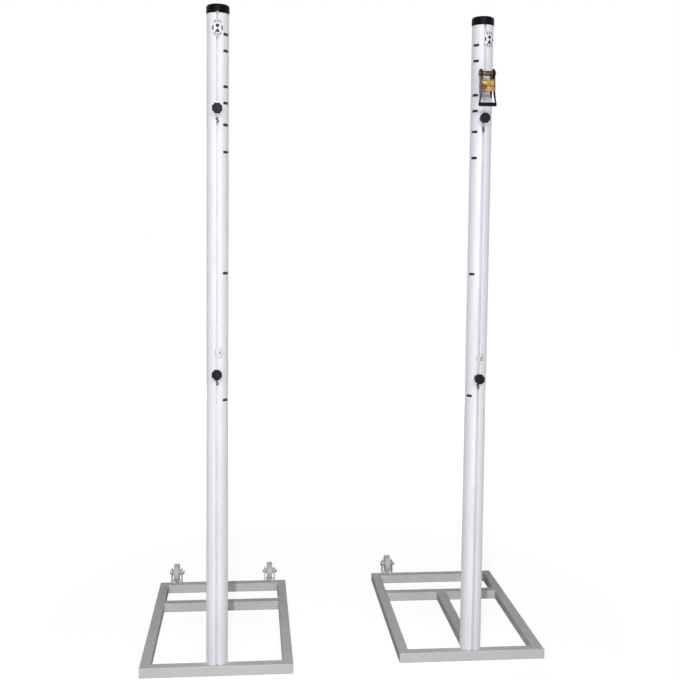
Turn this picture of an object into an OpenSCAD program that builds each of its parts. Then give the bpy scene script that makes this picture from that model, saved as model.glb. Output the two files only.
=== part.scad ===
// Pair of free-standing net posts on wheeled steel stands, with sliding clamps and a strap ratchet.
// Millimetres, +Z up. Origin: on the floor, under the middle of the whole pair. The front is -Y.
// Every stand is drawn round its own post axis, then set down by on_stand().

/* [Pair] */
// Distance between the two post axes
post_spacing = 1015; // [800:5:1600]
// How far the right stand is set back from the left one
right_setback = 62; // [0:1:150]

/* [Post] */
// Height of the post's top above the floor
post_height = 2540; // [2400:1:2700]
// Outer diameter of the post profile
post_d = 83; // [76:0.5:100]
// Wall of the post profile
post_wall = 3; // [2:0.1:4.5]
// Width of the slot's mouth
slot_mouth = 9; // [8.6:0.1:12]
// Depth of the slot's lips, from the post's front to the chamber
slot_lip = 4.5; // [4:0.1:6]
// Width of the slot's chamber
chamber_w = 20; // [18:0.5:24]
// Depth of the slot's chamber
chamber_depth = 11; // [10:0.5:14]
// Wall round the slot's chamber
chamber_wall = 2.5; // [2:0.1:3.5]

/* [Post cap] */
// Height of the cap's skirt and top together
cap_height = 33; // [24:1:60]
// Wall of the cap's skirt
cap_wall = 1.8; // [1.2:0.1:4]
// Thickness of the cap's top
cap_top = 5; // [3:0.5:8]
// Size of the bevel round the cap's top
cap_bevel = 2.5; // [1:0.5:6]

/* [Post foot] */
// Height of the spigot inside the post
spigot_height = 150; // [120:5:220]
// Wall of the spigot
spigot_wall = 6; // [5:0.5:9]
// Height of the lower foot screw above the frame
foot_screw_low = 40; // [30:1:50]
// Height of the upper foot screw above the frame
foot_screw_high = 110; // [80:1:115]
// Diameter of the foot screws
foot_screw_d = 10; // [8:1:12]

/* [Stand frame] */
// Width of the frame, outside to outside
frame_w = 590; // [500:5:700]
// Depth of the frame, outside to outside
frame_d = 900; // [750:5:1100]
// Side of the square tube
tube = 40; // [35:1:50]
// Wall of the square tube
tube_wall = 2; // [1.5:0.1:3]
// Outer corner radius of the square tube
tube_r = 4; // [3:0.5:6]
// Distance from the frame's front face to the post axis
post_inset = 48.5; // [42:0.5:60]
// Distance from the post axis to the front of the rear cross tube
cross_y = 586; // [450:1:650]

/* [Transport wheels] */
// Diameter of the wheels
wheel_d = 80; // [70:1:90]
// Width of the tyre
tyre_w = 25; // [20:1:30]
// Thickness of the tyre
tyre_t = 9; // [6:0.5:12]
// Width of the hub along the axle
hub_w = 40; // [34:0.5:42]
// Diameter of the hub
hub_d = 26; // [22:1:30]
// Diameter of the axle bolt
axle_d = 10; // [8:0.5:12]
// Distance from each side of the frame to the middle of its wheel
wheel_inset = 76; // [60:1:110]
// Gap between the wheel's two bracket plates
bracket_gap = 43; // [41:0.5:48]
// Thickness of the bracket's steel
bracket_t = 4; // [3:0.5:5]
// Width of the bracket along the stand's depth
bracket_w = 50; // [44:1:60]
// Radius of the bracket's rounded top, round the axle
bracket_r = 19; // [15:0.5:22]
// Gap between the wheel and the bracket's web
wheel_web_gap = 3; // [2:0.5:6]

/* [Sliding clamps] */
// Distance of the left upper clamp below the post's top
left_upper_drop = 383; // [140:1:990]
// Distance of the left lower clamp below the post's top
left_lower_drop = 1368; // [1160:1:2140]
// Distance of the right upper clamp below the post's top
right_upper_drop = 390; // [260:1:990]
// Distance of the right lower clamp below the post's top
right_lower_drop = 1398; // [1160:1:2140]
// How far a sliding block reaches above its stud
block_rise = 30; // [22:1:35]
// How far a sliding block reaches below the middle of its hook
block_foot = 8; // [6:1:12]
// Thickness of a sliding block
block_t = 8; // [6:0.5:9]
// Clearance of the sliding block in the chamber, each side
block_gap = 0.4; // [0.2:0.1:1]
// Diameter of the clamp stud
stud_d = 8; // [6:0.5:8]
// Thickness of the clamp shoe at its middle
shoe_t = 6; // [5:0.5:9]
// Diameter of the clamp shoe
shoe_d = 30; // [24:1:34]

/* [Net hooks] */
// Distance of an upper clamp's hook below its stud
upper_hook_drop = 40; // [36:1:50]
// Distance of a lower clamp's hook below its stud
lower_hook_drop = 32; // [32:1:50]
// Diameter of the hook's round bar
hook_d = 4.5; // [3.5:0.5:5]
// Radius of the hook's two bends, at the middle of its bar
hook_bend = 4; // [3.5:0.5:5]
// Diameter of the stem that carries the hook
hook_stem_d = 6; // [5.5:0.5:7]
// Gap between the hook and the post
hook_gap = 1.5; // [1:0.5:4]

/* [Star knobs] */
// Diameter over the knob's lobes
knob_d = 40; // [34:1:50]
// Number of lobes
knob_lobes = 8; // [5:1:9]
// Diameter of one lobe
lobe_d = 11; // [9:0.5:12]
// Height of the knob's head
knob_head_h = 16; // [12:0.5:20]
// Length of the knob's neck
knob_neck_h = 13.5; // [8:0.5:18]
// Diameter of the knob's neck
knob_neck_d = 19; // [14:0.5:22]

/* [Strap ratchet] */
// Height of the ratchet's spool above the right upper clamp
spool_rise = 165; // [155:1:180]
// Distance of the spool's axis from the post's front
spool_standoff = 44; // [42:1:52]
// Diameter of the spool
spool_d = 19; // [16:0.5:20]
// Gap between the spool's two bars, where the strap goes
strap_gap = 5; // [4.5:0.1:6]
// Gap between the frame's two side plates
ratchet_gap = 38; // [34:0.5:42]
// Thickness of the ratchet's steel plates
plate_t = 2.5; // [2:0.1:3]
// Outer diameter of the toothed wheels
gear_d = 34; // [32:0.5:36]
// Depth of a tooth
tooth_depth = 3; // [2:0.1:3.2]
// Number of teeth on each toothed wheel
teeth = 24; // [20:1:28]
// Distance from the spool's axis to the middle of the grip
handle_reach = 119; // [112:1:130]
// Length of the rubber grip
grip_len = 68; // [60:1:80]
// Diameter of the rubber grip
grip_d = 15; // [13:0.5:17]
// Diameter of the steel bar inside the grip
grip_bar_d = 9; // [7:0.5:10]
// Diameter of the ratchet's fixed bolt
anchor_d = 8; // [6:0.5:9]
// Width of the block between the ratchet and the post
mount_w = 26; // [20:1:32]
// Diameter of the screws that hold the ratchet on its sliding block
mount_screw_d = 6; // [4:0.5:8]

/* [Hidden] */
$fn = 64;

// Running clearance of a shaft in its hole, and the gap kept between pieces that move past each other
run_gap = 0.08;
part_gap = 0.3;
// Overshoot of a cutting shape, and a length longer than any piece it cuts
eps = 1;
far = 2000;

// Socket screws: radius of the head and of the socket as shares of the screw's diameter, and how far a
// tip stands past a wall, or short of the far side of a solid block
head_ratio = 0.9;
socket_ratio = 0.35;
screw_tip = 2;

post_r = post_d / 2;
post_bore_r = post_r - post_wall;
chamber_front = post_r - slot_lip;
post_top_z = post_height - cap_top;
left_upper_z = post_height - left_upper_drop;
left_lower_z = post_height - left_lower_drop;
right_upper_z = post_height - right_upper_drop;
right_lower_z = post_height - right_lower_drop;

tube_inner_r = max(tube_r - tube_wall, 0.5);
frame_front = -post_inset;
frame_rear = frame_d - post_inset;
frame_mid = (frame_front + frame_rear) / 2;

axle_z = tube + bracket_t + wheel_web_gap + wheel_d / 2;
wheel_x = frame_w / 2 - wheel_inset;
axle_head_t = 6.5;
axle_nut_t = 8;
axle_tail = 3;
// Width over the corners of a bolt's hexagon, as a share of its shank
hex_ratio = 1.85;

shoe_front = post_r + shoe_t;
hook_y = post_r + hook_gap + hook_d / 2;
// How far round each bend of the hook goes
hook_sweep = 235;
knob_back = shoe_front + part_gap;
knob_front = knob_back + knob_neck_h + knob_head_h;
stud_end = knob_back + knob_neck_h + knob_head_h / 2;
knob_edge = 3;
// How far the star's solid middle reaches past the lobes' centres, as a share of a lobe
lobe_blend = 0.3;

// Ratchet, across: each toothed wheel lies between a plate of the frame and one of the handle, and the
// spool runs through all of them
spool_r = spool_d / 2;
spool_y = -(post_r + spool_standoff);
spool_z = right_upper_z + spool_rise;
gear_x = ratchet_gap / 2 + plate_t + part_gap;
handle_x = gear_x + plate_t + part_gap;
spool_tail = 5;
spool_half = handle_x + plate_t + spool_tail;
pin_x = spool_half - spool_tail / 2;
pin_d = 3;
// The handle's legs splay out below leg_top, to end this far inside the grip's ends
grip_end = 2;
leg_x = grip_len / 2 - grip_end - plate_t;
leg_top = -74;
grip_bar_half = leg_x + plate_t / 2;

// Ratchet, teeth: half a tooth either way of a tooth's line is a gap, so both pawls stand in a gap
gear_root = gear_d / 2 - tooth_depth;
tooth_pitch = 360 / teeth;
handle_lean = tooth_pitch / 2;
pawl_turn = tooth_pitch * 5.5;
pawl_in = gear_root + part_gap;
pawl_len = 10;
pawl_t = 1.8;
pawl_travel = 4.5;

// Ratchet, heights from the spool's axis, and distances of the frame's web and anchor from the post's front
frame_top = 14;
web_low = -60;
web_high = -34;
web_front = 12.5;
anchor_drop = 82;
anchor_standoff = 27;
release_low = -72;
release_len = 42;
release_y = -13.5;
mount_low = web_low + 2;
mount_high = web_high - 2;
mount_rises = [-53, -41];
mount_head_t = 3.5;
carriage_top = spool_rise + 18;

// The pair's middle, so that the origin lies under it
pair_front = min(-knob_front, right_setback + spool_y - handle_reach * sin(handle_lean) - grip_d / 2);
pair_rear = right_setback + frame_rear + wheel_d / 2;
post_y = -(pair_front + pair_rear) / 2;

// ---- placing ------------------------------------------------------------------------------------

// side is -1 for the left stand and 1 for the right one
module on_stand(side) {
    translate([side * post_spacing / 2, post_y + (side > 0 ? right_setback : 0), 0]) children();
}

// A drawing whose x runs to +Y and whose y runs to +Z, extruded along X about its middle
module along_x(len) {
    rotate([90, 0, 90]) linear_extrude(len, center = true) children();
}

// A drawing in the XZ plane, extruded from y = -from to y = -to
module towards_front(from, to) {
    translate([0, -from, 0]) rotate([90, 0, 0]) linear_extrude(to - from) children();
}

// A round bar along -Y
module bar_y(r, from, to) {
    translate([0, -from, 0]) rotate([90, 0, 0]) cylinder(r = r, h = to - from);
}

// A round bar along X about its middle
module bar_x(r, len) {
    rotate([0, 90, 0]) cylinder(r = r, h = len, center = true);
}

// A child on each side of x = 0, the second one mirrored
module both_sides() {
    children();
    mirror([1, 0, 0]) children();
}

// ---- stand frame --------------------------------------------------------------------------------

module rounded_rect(w, h, r) {
    square([w - 2 * r, h], center = true);
    square([w, h - 2 * r], center = true);
    for (x = [-1, 1], y = [-1, 1])
        translate([x * (w / 2 - r), y * (h / 2 - r)]) circle(r);
}

module tube_section() {
    difference() {
        rounded_rect(tube, tube, tube_r);
        rounded_rect(tube - 2 * tube_wall, tube - 2 * tube_wall, tube_inner_r);
    }
}

// A square tube along X, its outer edge on y = 0, lying on the floor
module plain_tube(len) {
    translate([0, tube / 2, tube / 2]) along_x(len) tube_section();
}

// The same tube with both ends cut at 45 degrees, shorter on the inner edge
module mitred_tube(len) {
    difference() {
        plain_tube(len);
        both_sides()
            translate([len / 2, 0, -eps]) rotate(-45) translate([-len / 2, 0, 0])
                cube([len, len, tube + 2 * eps]);
    }
}

module stand_colour() {
    color([0.74, 0.74, 0.73]) children();
}

module front_tube() {
    stand_colour() translate([0, frame_front, 0]) mitred_tube(frame_w);
}

module rear_tube() {
    stand_colour() translate([0, frame_rear, 0]) rotate(180) mitred_tube(frame_w);
}

// side is -1 for the tube on the left and 1 for the tube on the right
module side_tube(side) {
    stand_colour() translate([side * frame_w / 2, frame_mid, 0]) rotate(side * 90) mitred_tube(frame_d);
}

module cross_tube() {
    stand_colour() translate([0, cross_y, 0]) plain_tube(frame_w - 2 * tube);
}

module centre_tube() {
    start = frame_front + tube;
    stand_colour()
        translate([-tube / 2, (start + cross_y) / 2, 0]) rotate(-90) plain_tube(cross_y - start);
}

// ---- post ---------------------------------------------------------------------------------------

module slot_chamber(extra) {
    translate([-chamber_w / 2 - extra, -chamber_front])
        square([chamber_w + 2 * extra, chamber_depth + extra]);
}

module post_section() {
    difference() {
        union() {
            difference() {
                circle(post_r);
                circle(post_bore_r);
            }
            intersection() {
                circle(post_r);
                translate([-chamber_w / 2 - chamber_wall, -post_r])
                    square([chamber_w + 2 * chamber_wall, slot_lip + chamber_depth + chamber_wall]);
            }
        }
        slot_chamber(0);
        translate([-slot_mouth / 2, -post_r - eps]) square([slot_mouth, slot_lip + 2 * eps]);
    }
}

// The screws come in from the rear, through the post and the spigot
module foot_screw_holes(r) {
    for (rise = [foot_screw_low, foot_screw_high])
        translate([0, 0, tube + rise]) bar_y(r, -post_r - eps, 0);
}

module post() {
    color([0.93, 0.93, 0.94]) difference() {
        translate([0, 0, tube]) linear_extrude(post_top_z - tube) post_section();
        foot_screw_holes(foot_screw_d / 2 + run_gap);
    }
}

module post_cap() {
    outer = post_r + run_gap + cap_wall;
    color([0.1, 0.1, 0.1]) difference() {
        translate([0, 0, post_height - cap_height]) rotate_extrude()
            polygon([[0, 0], [outer, 0], [outer, cap_height - cap_bevel],
                [outer - cap_bevel, cap_height], [0, cap_height]]);
        translate([0, 0, post_height - cap_height - eps])
            cylinder(r = post_r + run_gap, h = cap_height - cap_top + eps);
    }
}

module foot_spigot() {
    outer = post_bore_r - run_gap;
    relief = chamber_w / 2 + chamber_wall + part_gap;
    relief_depth = slot_lip + chamber_depth + chamber_wall + part_gap;
    color([0.6, 0.6, 0.6]) difference() {
        translate([0, 0, tube]) difference() {
            cylinder(r = outer, h = spigot_height);
            translate([0, 0, -eps]) cylinder(r = outer - spigot_wall, h = spigot_height + 2 * eps);
            translate([-relief, -post_r, -eps])
                cube([2 * relief, relief_depth, spigot_height + 2 * eps]);
        }
        foot_screw_holes(foot_screw_d / 2 + run_gap);
    }
}

// A socket screw along Y with its head towards the front: tip and seat are distances from the post axis
module socket_screw(d, tip, seat, head_t) {
    difference() {
        union() {
            bar_y(d / 2, tip, seat);
            bar_y(d * head_ratio, seat, seat + head_t);
        }
        towards_front(seat + head_t / 3, seat + head_t + eps) circle(r = d * socket_ratio, $fn = 6);
    }
}

module foot_screws() {
    tip = post_bore_r - spigot_wall - screw_tip;
    color([0.5, 0.5, 0.52]) for (rise = [foot_screw_low, foot_screw_high])
        translate([0, 0, tube + rise]) rotate(180)
            socket_screw(foot_screw_d, tip, post_r, foot_screw_d / 2);
}

// ---- transport wheels ---------------------------------------------------------------------------

// side is -1 for the wheel on the left and 1 for the wheel on the right
module at_axle(side) {
    translate([side * wheel_x, frame_rear, axle_z]) children();
}

// The bracket plate seen along X, with the axle at its origin
module bracket_plate() {
    drop = axle_z - tube;
    polygon([[-bracket_w / 2, -drop], [bracket_w / 2, -drop], [bracket_w / 2, -drop + bracket_t],
        [bracket_r, 0], [-bracket_r, 0], [-bracket_w / 2, -drop + bracket_t]]);
    circle(bracket_r);
}

module wheel_brackets() {
    color([0.8, 0.8, 0.8]) for (side = [-1, 1]) at_axle(side) difference() {
        union() {
            both_sides()
                translate([bracket_gap / 2 + bracket_t / 2, 0, 0]) along_x(bracket_t) bracket_plate();
            translate([-bracket_gap / 2 - bracket_t / 2, -bracket_w / 2, tube - axle_z])
                cube([bracket_gap + bracket_t, bracket_w, bracket_t]);
        }
        bar_x(axle_d / 2 + run_gap, far);
    }
}

// A six-sided bar along X about its middle, for a bolt's head or a nut
module hexagon_x(len) {
    along_x(len) circle(d = axle_d * hex_ratio, $fn = 6);
}

module axle_bolts() {
    half = bracket_gap / 2 + bracket_t;
    tail = axle_nut_t + axle_tail;
    color([0.3, 0.3, 0.31]) for (side = [-1, 1]) at_axle(side) {
        translate([tail / 2, 0, 0]) bar_x(axle_d / 2, 2 * half + tail);
        translate([-half - axle_head_t / 2, 0, 0]) hexagon_x(axle_head_t);
    }
}

module axle_nuts() {
    half = bracket_gap / 2 + bracket_t;
    color([0.55, 0.55, 0.56]) for (side = [-1, 1]) at_axle(side)
        translate([half + axle_nut_t / 2, 0, 0]) difference() {
            hexagon_x(axle_nut_t);
            bar_x(axle_d / 2 + run_gap, 2 * axle_nut_t);
        }
}

// The core is one outline turned about the axle: a hub, a thin web and a rim
module wheel_core(side) {
    rim_r = wheel_d / 2 - tyre_t - run_gap;
    rim_inset = 2;
    rim_half = tyre_w / 2 - rim_inset;
    rim_t = 4;
    web_half = 4;
    color([0.7, 0.7, 0.69]) at_axle(side) difference() {
        rotate([0, 90, 0]) rotate_extrude()
            polygon([[0, -hub_w / 2], [hub_d / 2, -hub_w / 2], [hub_d / 2, -web_half],
                [rim_r - rim_t, -web_half], [rim_r - rim_t, -rim_half], [rim_r, -rim_half],
                [rim_r, rim_half], [rim_r - rim_t, rim_half], [rim_r - rim_t, web_half],
                [hub_d / 2, web_half], [hub_d / 2, hub_w / 2], [0, hub_w / 2]]);
        bar_x(axle_d / 2 + run_gap, 2 * hub_w);
    }
}

module wheel_tyre(side) {
    edge = 4;
    inner = wheel_d / 2 - tyre_t;
    color([0.62, 0.62, 0.61]) at_axle(side) rotate([0, 90, 0]) rotate_extrude() {
        translate([inner, -tyre_w / 2]) square([tyre_t - edge, tyre_w]);
        translate([inner, -tyre_w / 2 + edge]) square([tyre_t, tyre_w - 2 * edge]);
        for (y = [-1, 1])
            translate([wheel_d / 2 - edge, y * (tyre_w / 2 - edge)]) circle(edge);
    }
}

// ---- sliding clamps and knobs -------------------------------------------------------------------

// The block fills the chamber behind the lips, and the stud comes out through the mouth
module slide_block(low, high) {
    front = chamber_front - part_gap;
    translate([-chamber_w / 2 + block_gap, -front, low])
        cube([chamber_w - 2 * block_gap, block_t, high - low]);
}

// An S of round bar in front of the slot, with its middle at the origin: two bends that meet there
module net_hook() {
    for (turn = [0, 180]) rotate([0, turn, 0])
        translate([0, -hook_y, hook_bend]) rotate([90, 0, 0]) rotate(270 - hook_sweep)
            rotate_extrude(angle = hook_sweep) translate([hook_bend, 0]) circle(d = hook_d);
}

// top is how far the block reaches above its stud
module slide_bolt(z, hook_drop, top = block_rise) {
    color([0.45, 0.45, 0.46]) translate([0, 0, z]) {
        slide_block(-hook_drop - block_foot, top);
        bar_y(stud_d / 2, chamber_front - block_t / 2, stud_end);
        translate([0, 0, -hook_drop]) {
            bar_y(hook_stem_d / 2, chamber_front - block_t / 2, hook_y);
            net_hook();
        }
    }
}

module clamp_shoe(z) {
    color([0.15, 0.15, 0.15]) difference() {
        translate([0, 0, z]) difference() {
            bar_y(shoe_d / 2, 0, shoe_front);
            bar_y(stud_d / 2 + run_gap, 0, far);
        }
        translate([0, 0, z - shoe_d]) cylinder(r = post_r + part_gap, h = 2 * shoe_d);
    }
}

module knob_star() {
    ring_r = (knob_d - lobe_d) / 2;
    circle(ring_r + lobe_d * lobe_blend);
    for (i = [0:knob_lobes - 1])
        rotate((i + 0.5) * 360 / knob_lobes) translate([ring_r, 0]) circle(d = lobe_d);
}

// The knob's rounded silhouette, turned about its own axis: r against height
module knob_envelope() {
    r = knob_d / 2;
    h = knob_head_h;
    dish_r = knob_d * 0.27;
    dish = 1.2;
    rotate_extrude() {
        translate([0, knob_edge]) square([r, h - 2 * knob_edge]);
        square([r - knob_edge, h - dish]);
        translate([dish_r, h - dish - eps]) square([r - knob_edge - dish_r, dish + eps]);
        for (y = [knob_edge, h - knob_edge]) translate([r - knob_edge, y]) circle(knob_edge);
    }
}

module knob(z) {
    color([0.09, 0.09, 0.1]) translate([0, -knob_back, z]) rotate([90, 0, 0]) difference() {
        union() {
            cylinder(d = knob_neck_d, h = knob_neck_h + eps);
            translate([0, 0, knob_neck_h]) intersection() {
                knob_envelope();
                linear_extrude(knob_head_h) knob_star();
            }
        }
        translate([0, 0, -eps]) cylinder(r = stud_d / 2 + run_gap, h = stud_end - knob_back + eps + part_gap);
    }
}

// ---- strap ratchet on the right upper clamp -----------------------------------------------------

module at_spool() {
    translate([0, spool_y, spool_z]) children();
}

// Turned from hanging straight down to the closed handle's line, away from the post
module along_handle() {
    rotate([-handle_lean, 0, 0]) children();
}

module mount_screw_holes() {
    for (rise = mount_rises)
        translate([0, 0, spool_z + rise]) bar_y(mount_screw_d / 2 + run_gap, 0, far);
}

// The right upper sliding block also carries the ratchet, so it reaches up behind it
module ratchet_slide_bolt() {
    difference() {
        slide_bolt(right_upper_z, upper_hook_drop, carriage_top);
        color([0.45, 0.45, 0.46]) mount_screw_holes();
    }
}

module ratchet_mount_block() {
    height = mount_high - mount_low;
    color([0.5, 0.5, 0.5]) difference() {
        translate([0, 0, spool_z + mount_low]) difference() {
            towards_front(0, post_r + web_front - plate_t)
                translate([-mount_w / 2, 0]) square([mount_w, height]);
            translate([0, 0, -eps]) cylinder(r = post_r + part_gap, h = height + 2 * eps);
        }
        mount_screw_holes();
    }
}

module ratchet_mount_screws() {
    tip = chamber_front - part_gap - block_t + screw_tip;
    color([0.35, 0.35, 0.36]) for (rise = mount_rises)
        translate([0, 0, spool_z + rise]) socket_screw(mount_screw_d, tip, post_r + web_front, mount_head_t);
}

// Side plate of the frame, seen along X, with the spool's axis at its origin: a nose round the spool, a
// waist, and a round foot at the anchor bolt
module frame_plate() {
    back = spool_standoff - web_front + plate_t;
    nose_r = spool_r + 4;
    waist = [-nose_r + 7.5, -34];
    foot_r = 9;
    anchor_y = spool_standoff - anchor_standoff;
    polygon([[back, frame_top], [0, frame_top], [-nose_r, 0], waist, [anchor_y - foot_r, -anchor_drop],
        [anchor_y + foot_r, -anchor_drop], [back, web_low]]);
    circle(nose_r);
    translate([anchor_y, -anchor_drop]) circle(foot_r);
}

module at_anchor() {
    translate([0, spool_standoff - anchor_standoff, -anchor_drop]) children();
}

// Slot for the frame's pawl, along the pawl's own line
module pawl_slot() {
    slot_out = pawl_in + pawl_len + pawl_travel + part_gap;
    rotate([pawl_turn, 0, 0])
        translate([-far / 2, -pawl_t / 2 - part_gap, -slot_out])
            cube([far, pawl_t + 2 * part_gap, slot_out - pawl_in + part_gap]);
}

module ratchet_frame() {
    back = spool_standoff - web_front;
    color([0.78, 0.62, 0.25]) at_spool() difference() {
        union() {
            both_sides()
                translate([ratchet_gap / 2 + plate_t / 2, 0, 0]) along_x(plate_t) frame_plate();
            translate([-ratchet_gap / 2 - plate_t / 2, back, web_low])
                cube([ratchet_gap + plate_t, plate_t, web_high - web_low]);
        }
        bar_x(spool_r + run_gap, far);
        at_anchor() bar_x(anchor_d / 2 + run_gap, far);
        for (rise = mount_rises)
            translate([0, 0, rise]) bar_y(mount_screw_d / 2 + run_gap, -spool_standoff, -back + eps);
        pawl_slot();
    }
}

module ratchet_anchor_bolt() {
    half = ratchet_gap / 2 + plate_t;
    head_r = anchor_d * 0.75;
    head_t = 2.6;
    color([0.4, 0.4, 0.4]) at_spool() at_anchor() {
        bar_x(anchor_d / 2, 2 * half + 2 * head_t);
        both_sides() translate([half + head_t / 2, 0, 0]) bar_x(head_r, head_t);
    }
}

// A flat bar across both toothed wheels, its edge in a tooth gap
module ratchet_frame_pawl() {
    reach = gear_x + plate_t;
    color([0.55, 0.45, 0.25]) at_spool() rotate([pawl_turn, 0, 0])
        translate([-reach, -pawl_t / 2, -pawl_in - pawl_len]) cube([2 * reach, pawl_t, pawl_len]);
}

// Two half-round bars with the strap's gap between them
module half_bars(extra, len) {
    for (side = [0, 180]) rotate([side, 0, 0]) intersection() {
        bar_x(spool_r + extra, len);
        translate([-len, strap_gap / 2 - extra, -spool_d]) cube([2 * len, spool_d, 2 * spool_d]);
    }
}

module pin_holes(r) {
    both_sides() translate([pin_x, 0, 0]) rotate([90, 0, 0]) cylinder(r = r, h = 2 * spool_d, center = true);
}

module ratchet_spool_bars() {
    color([0.8, 0.66, 0.32]) at_spool() difference() {
        half_bars(0, 2 * spool_half);
        pin_holes(pin_d / 2 + run_gap);
    }
}

// A pin through each end of the spool, with a round eye on its front end
module ratchet_split_pins() {
    pin_out = 3;
    eye_d = 1.5 * pin_d;
    color([0.6, 0.6, 0.6]) at_spool() both_sides() translate([pin_x, 0, 0]) {
        rotate([90, 0, 0]) cylinder(d = pin_d, h = spool_d + 2 * pin_out, center = true);
        translate([0, -spool_r - pin_out, 0]) sphere(d = eye_d);
    }
}

module tooth_ring() {
    tip = 0.8;
    base_share = 0.19;
    base = gear_root * sin(tooth_pitch * base_share);
    circle(gear_root);
    for (i = [0:teeth - 1]) rotate(i * tooth_pitch)
        polygon([[gear_root - eps, -base], [gear_d / 2, -tip / 2], [gear_d / 2, tip / 2],
            [gear_root - eps, base]]);
}

module ratchet_toothed_wheels() {
    color([0.72, 0.56, 0.2]) at_spool() difference() {
        both_sides() translate([gear_x + plate_t / 2, 0, 0]) along_x(plate_t) tooth_ring();
        half_bars(run_gap, far);
    }
}

// Outline of the handle's side, seen along X and hanging straight down from the spool: a cam with a lobe at
// the top, a plate that covers the frame, and a leg down to the grip
module handle_outline() {
    cam_r = spool_r + 7;
    lobe_r = 0.72 * cam_r;
    lobe_at = [0.35 * cam_r, 0.45 * cam_r];
    heel = [0.75 * cam_r, -34];
    toe_z = -64;
    leg_back = 8;
    leg_front = 12;
    end_r = grip_bar_d / 2 + 1;
    difference() {
        union() {
            circle(cam_r);
            translate(lobe_at) circle(lobe_r);
            polygon([[-cam_r, 0], [cam_r, 0], heel, [leg_back, leg_top], [end_r, -handle_reach],
                [-end_r, -handle_reach], [-leg_front, leg_top], [-cam_r, toe_z]]);
            translate([0, -handle_reach]) circle(end_r);
        }
        circle(spool_r + run_gap);
    }
}

// The same side seen from the front: a strip that runs straight down, splays out and ends upright in the grip
module handle_strip() {
    high = 2 * spool_d;
    grip_top = -handle_reach + grip_d / 2;
    low = -handle_reach - grip_d;
    polygon([[handle_x, high], [handle_x + plate_t, high], [handle_x + plate_t, leg_top],
        [leg_x + plate_t, grip_top], [leg_x + plate_t, low], [leg_x, low], [leg_x, grip_top],
        [handle_x, leg_top]]);
}

module handle_sides() {
    both_sides() intersection() {
        along_x(far) handle_outline();
        towards_front(-far / 2, far / 2) handle_strip();
    }
}

module grip_bar() {
    translate([0, 0, -handle_reach]) bar_x(grip_bar_d / 2, 2 * grip_bar_half);
}

module ratchet_handle() {
    brace_half = handle_x + plate_t / 2;
    brace_y = 1.5;
    brace_low = -68;
    brace_h = 16;
    color([0.76, 0.6, 0.24]) at_spool() along_handle() {
        handle_sides();
        grip_bar();
        translate([-brace_half, brace_y, brace_low]) cube([2 * brace_half, plate_t, brace_h]);
    }
}

// The pull plate between the handle's sides: a lip along its top, and two cheeks with ears that drop into the
// tooth gaps
module ratchet_release_plate() {
    half = handle_x - part_gap;
    lip = 3;
    lip_z = release_low + release_len - plate_t;
    cheek_low = release_low + 23;
    cheek_top = -gear_d / 2 - 7;
    color([0.8, 0.64, 0.28]) at_spool() along_handle() {
        translate([-half, release_y, release_low]) cube([2 * half, plate_t, release_len]);
        translate([-half, release_y - lip, lip_z]) cube([2 * half, lip + plate_t, plate_t]);
        both_sides() translate([half - plate_t, release_y, cheek_low])
            cube([plate_t, pawl_t / 2 - release_y, cheek_top - cheek_low]);
        both_sides() translate([half - plate_t, -pawl_t / 2, cheek_top - eps])
            cube([plate_t, pawl_t, -pawl_in - cheek_top + eps]);
    }
}

module ratchet_grip() {
    color([0.07, 0.07, 0.07]) at_spool() along_handle() difference() {
        translate([0, 0, -handle_reach]) bar_x(grip_d / 2, grip_len);
        grip_bar();
        handle_sides();
    }
}

// ---- the nodes ----------------------------------------------------------------------------------

on_stand(-1) front_tube();  // left_front_tube
on_stand(-1) rear_tube();  // left_rear_tube
on_stand(-1) side_tube(1);  // left_inner_side_tube
on_stand(-1) side_tube(-1);  // left_outer_side_tube
on_stand(-1) cross_tube();  // left_cross_tube
on_stand(-1) centre_tube();  // left_centre_tube
on_stand(-1) post();  // left_post
on_stand(-1) post_cap();  // left_post_cap
on_stand(-1) foot_spigot();  // left_foot_spigot
on_stand(-1) foot_screws();  // left_foot_screws
on_stand(-1) wheel_brackets();  // left_wheel_brackets
on_stand(-1) axle_bolts();  // left_axle_bolts
on_stand(-1) axle_nuts();  // left_axle_nuts
on_stand(-1) wheel_core(-1);  // left_outer_wheel_core
on_stand(-1) wheel_tyre(-1);  // left_outer_wheel_tyre
on_stand(-1) wheel_core(1);  // left_inner_wheel_core
on_stand(-1) wheel_tyre(1);  // left_inner_wheel_tyre
on_stand(-1) slide_bolt(left_upper_z, upper_hook_drop);  // left_upper_slide_bolt
on_stand(-1) clamp_shoe(left_upper_z);  // left_upper_clamp_shoe
on_stand(-1) knob(left_upper_z);  // left_upper_knob
on_stand(-1) slide_bolt(left_lower_z, lower_hook_drop);  // left_lower_slide_bolt
on_stand(-1) clamp_shoe(left_lower_z);  // left_lower_clamp_shoe
on_stand(-1) knob(left_lower_z);  // left_lower_knob
on_stand(1) front_tube();  // right_front_tube
on_stand(1) rear_tube();  // right_rear_tube
on_stand(1) side_tube(-1);  // right_inner_side_tube
on_stand(1) side_tube(1);  // right_outer_side_tube
on_stand(1) cross_tube();  // right_cross_tube
on_stand(1) centre_tube();  // right_centre_tube
on_stand(1) post();  // right_post
on_stand(1) post_cap();  // right_post_cap
on_stand(1) foot_spigot();  // right_foot_spigot
on_stand(1) foot_screws();  // right_foot_screws
on_stand(1) wheel_brackets();  // right_wheel_brackets
on_stand(1) axle_bolts();  // right_axle_bolts
on_stand(1) axle_nuts();  // right_axle_nuts
on_stand(1) wheel_core(1);  // right_outer_wheel_core
on_stand(1) wheel_tyre(1);  // right_outer_wheel_tyre
on_stand(1) wheel_core(-1);  // right_inner_wheel_core
on_stand(1) wheel_tyre(-1);  // right_inner_wheel_tyre
on_stand(1) ratchet_slide_bolt();  // right_upper_slide_bolt
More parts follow.
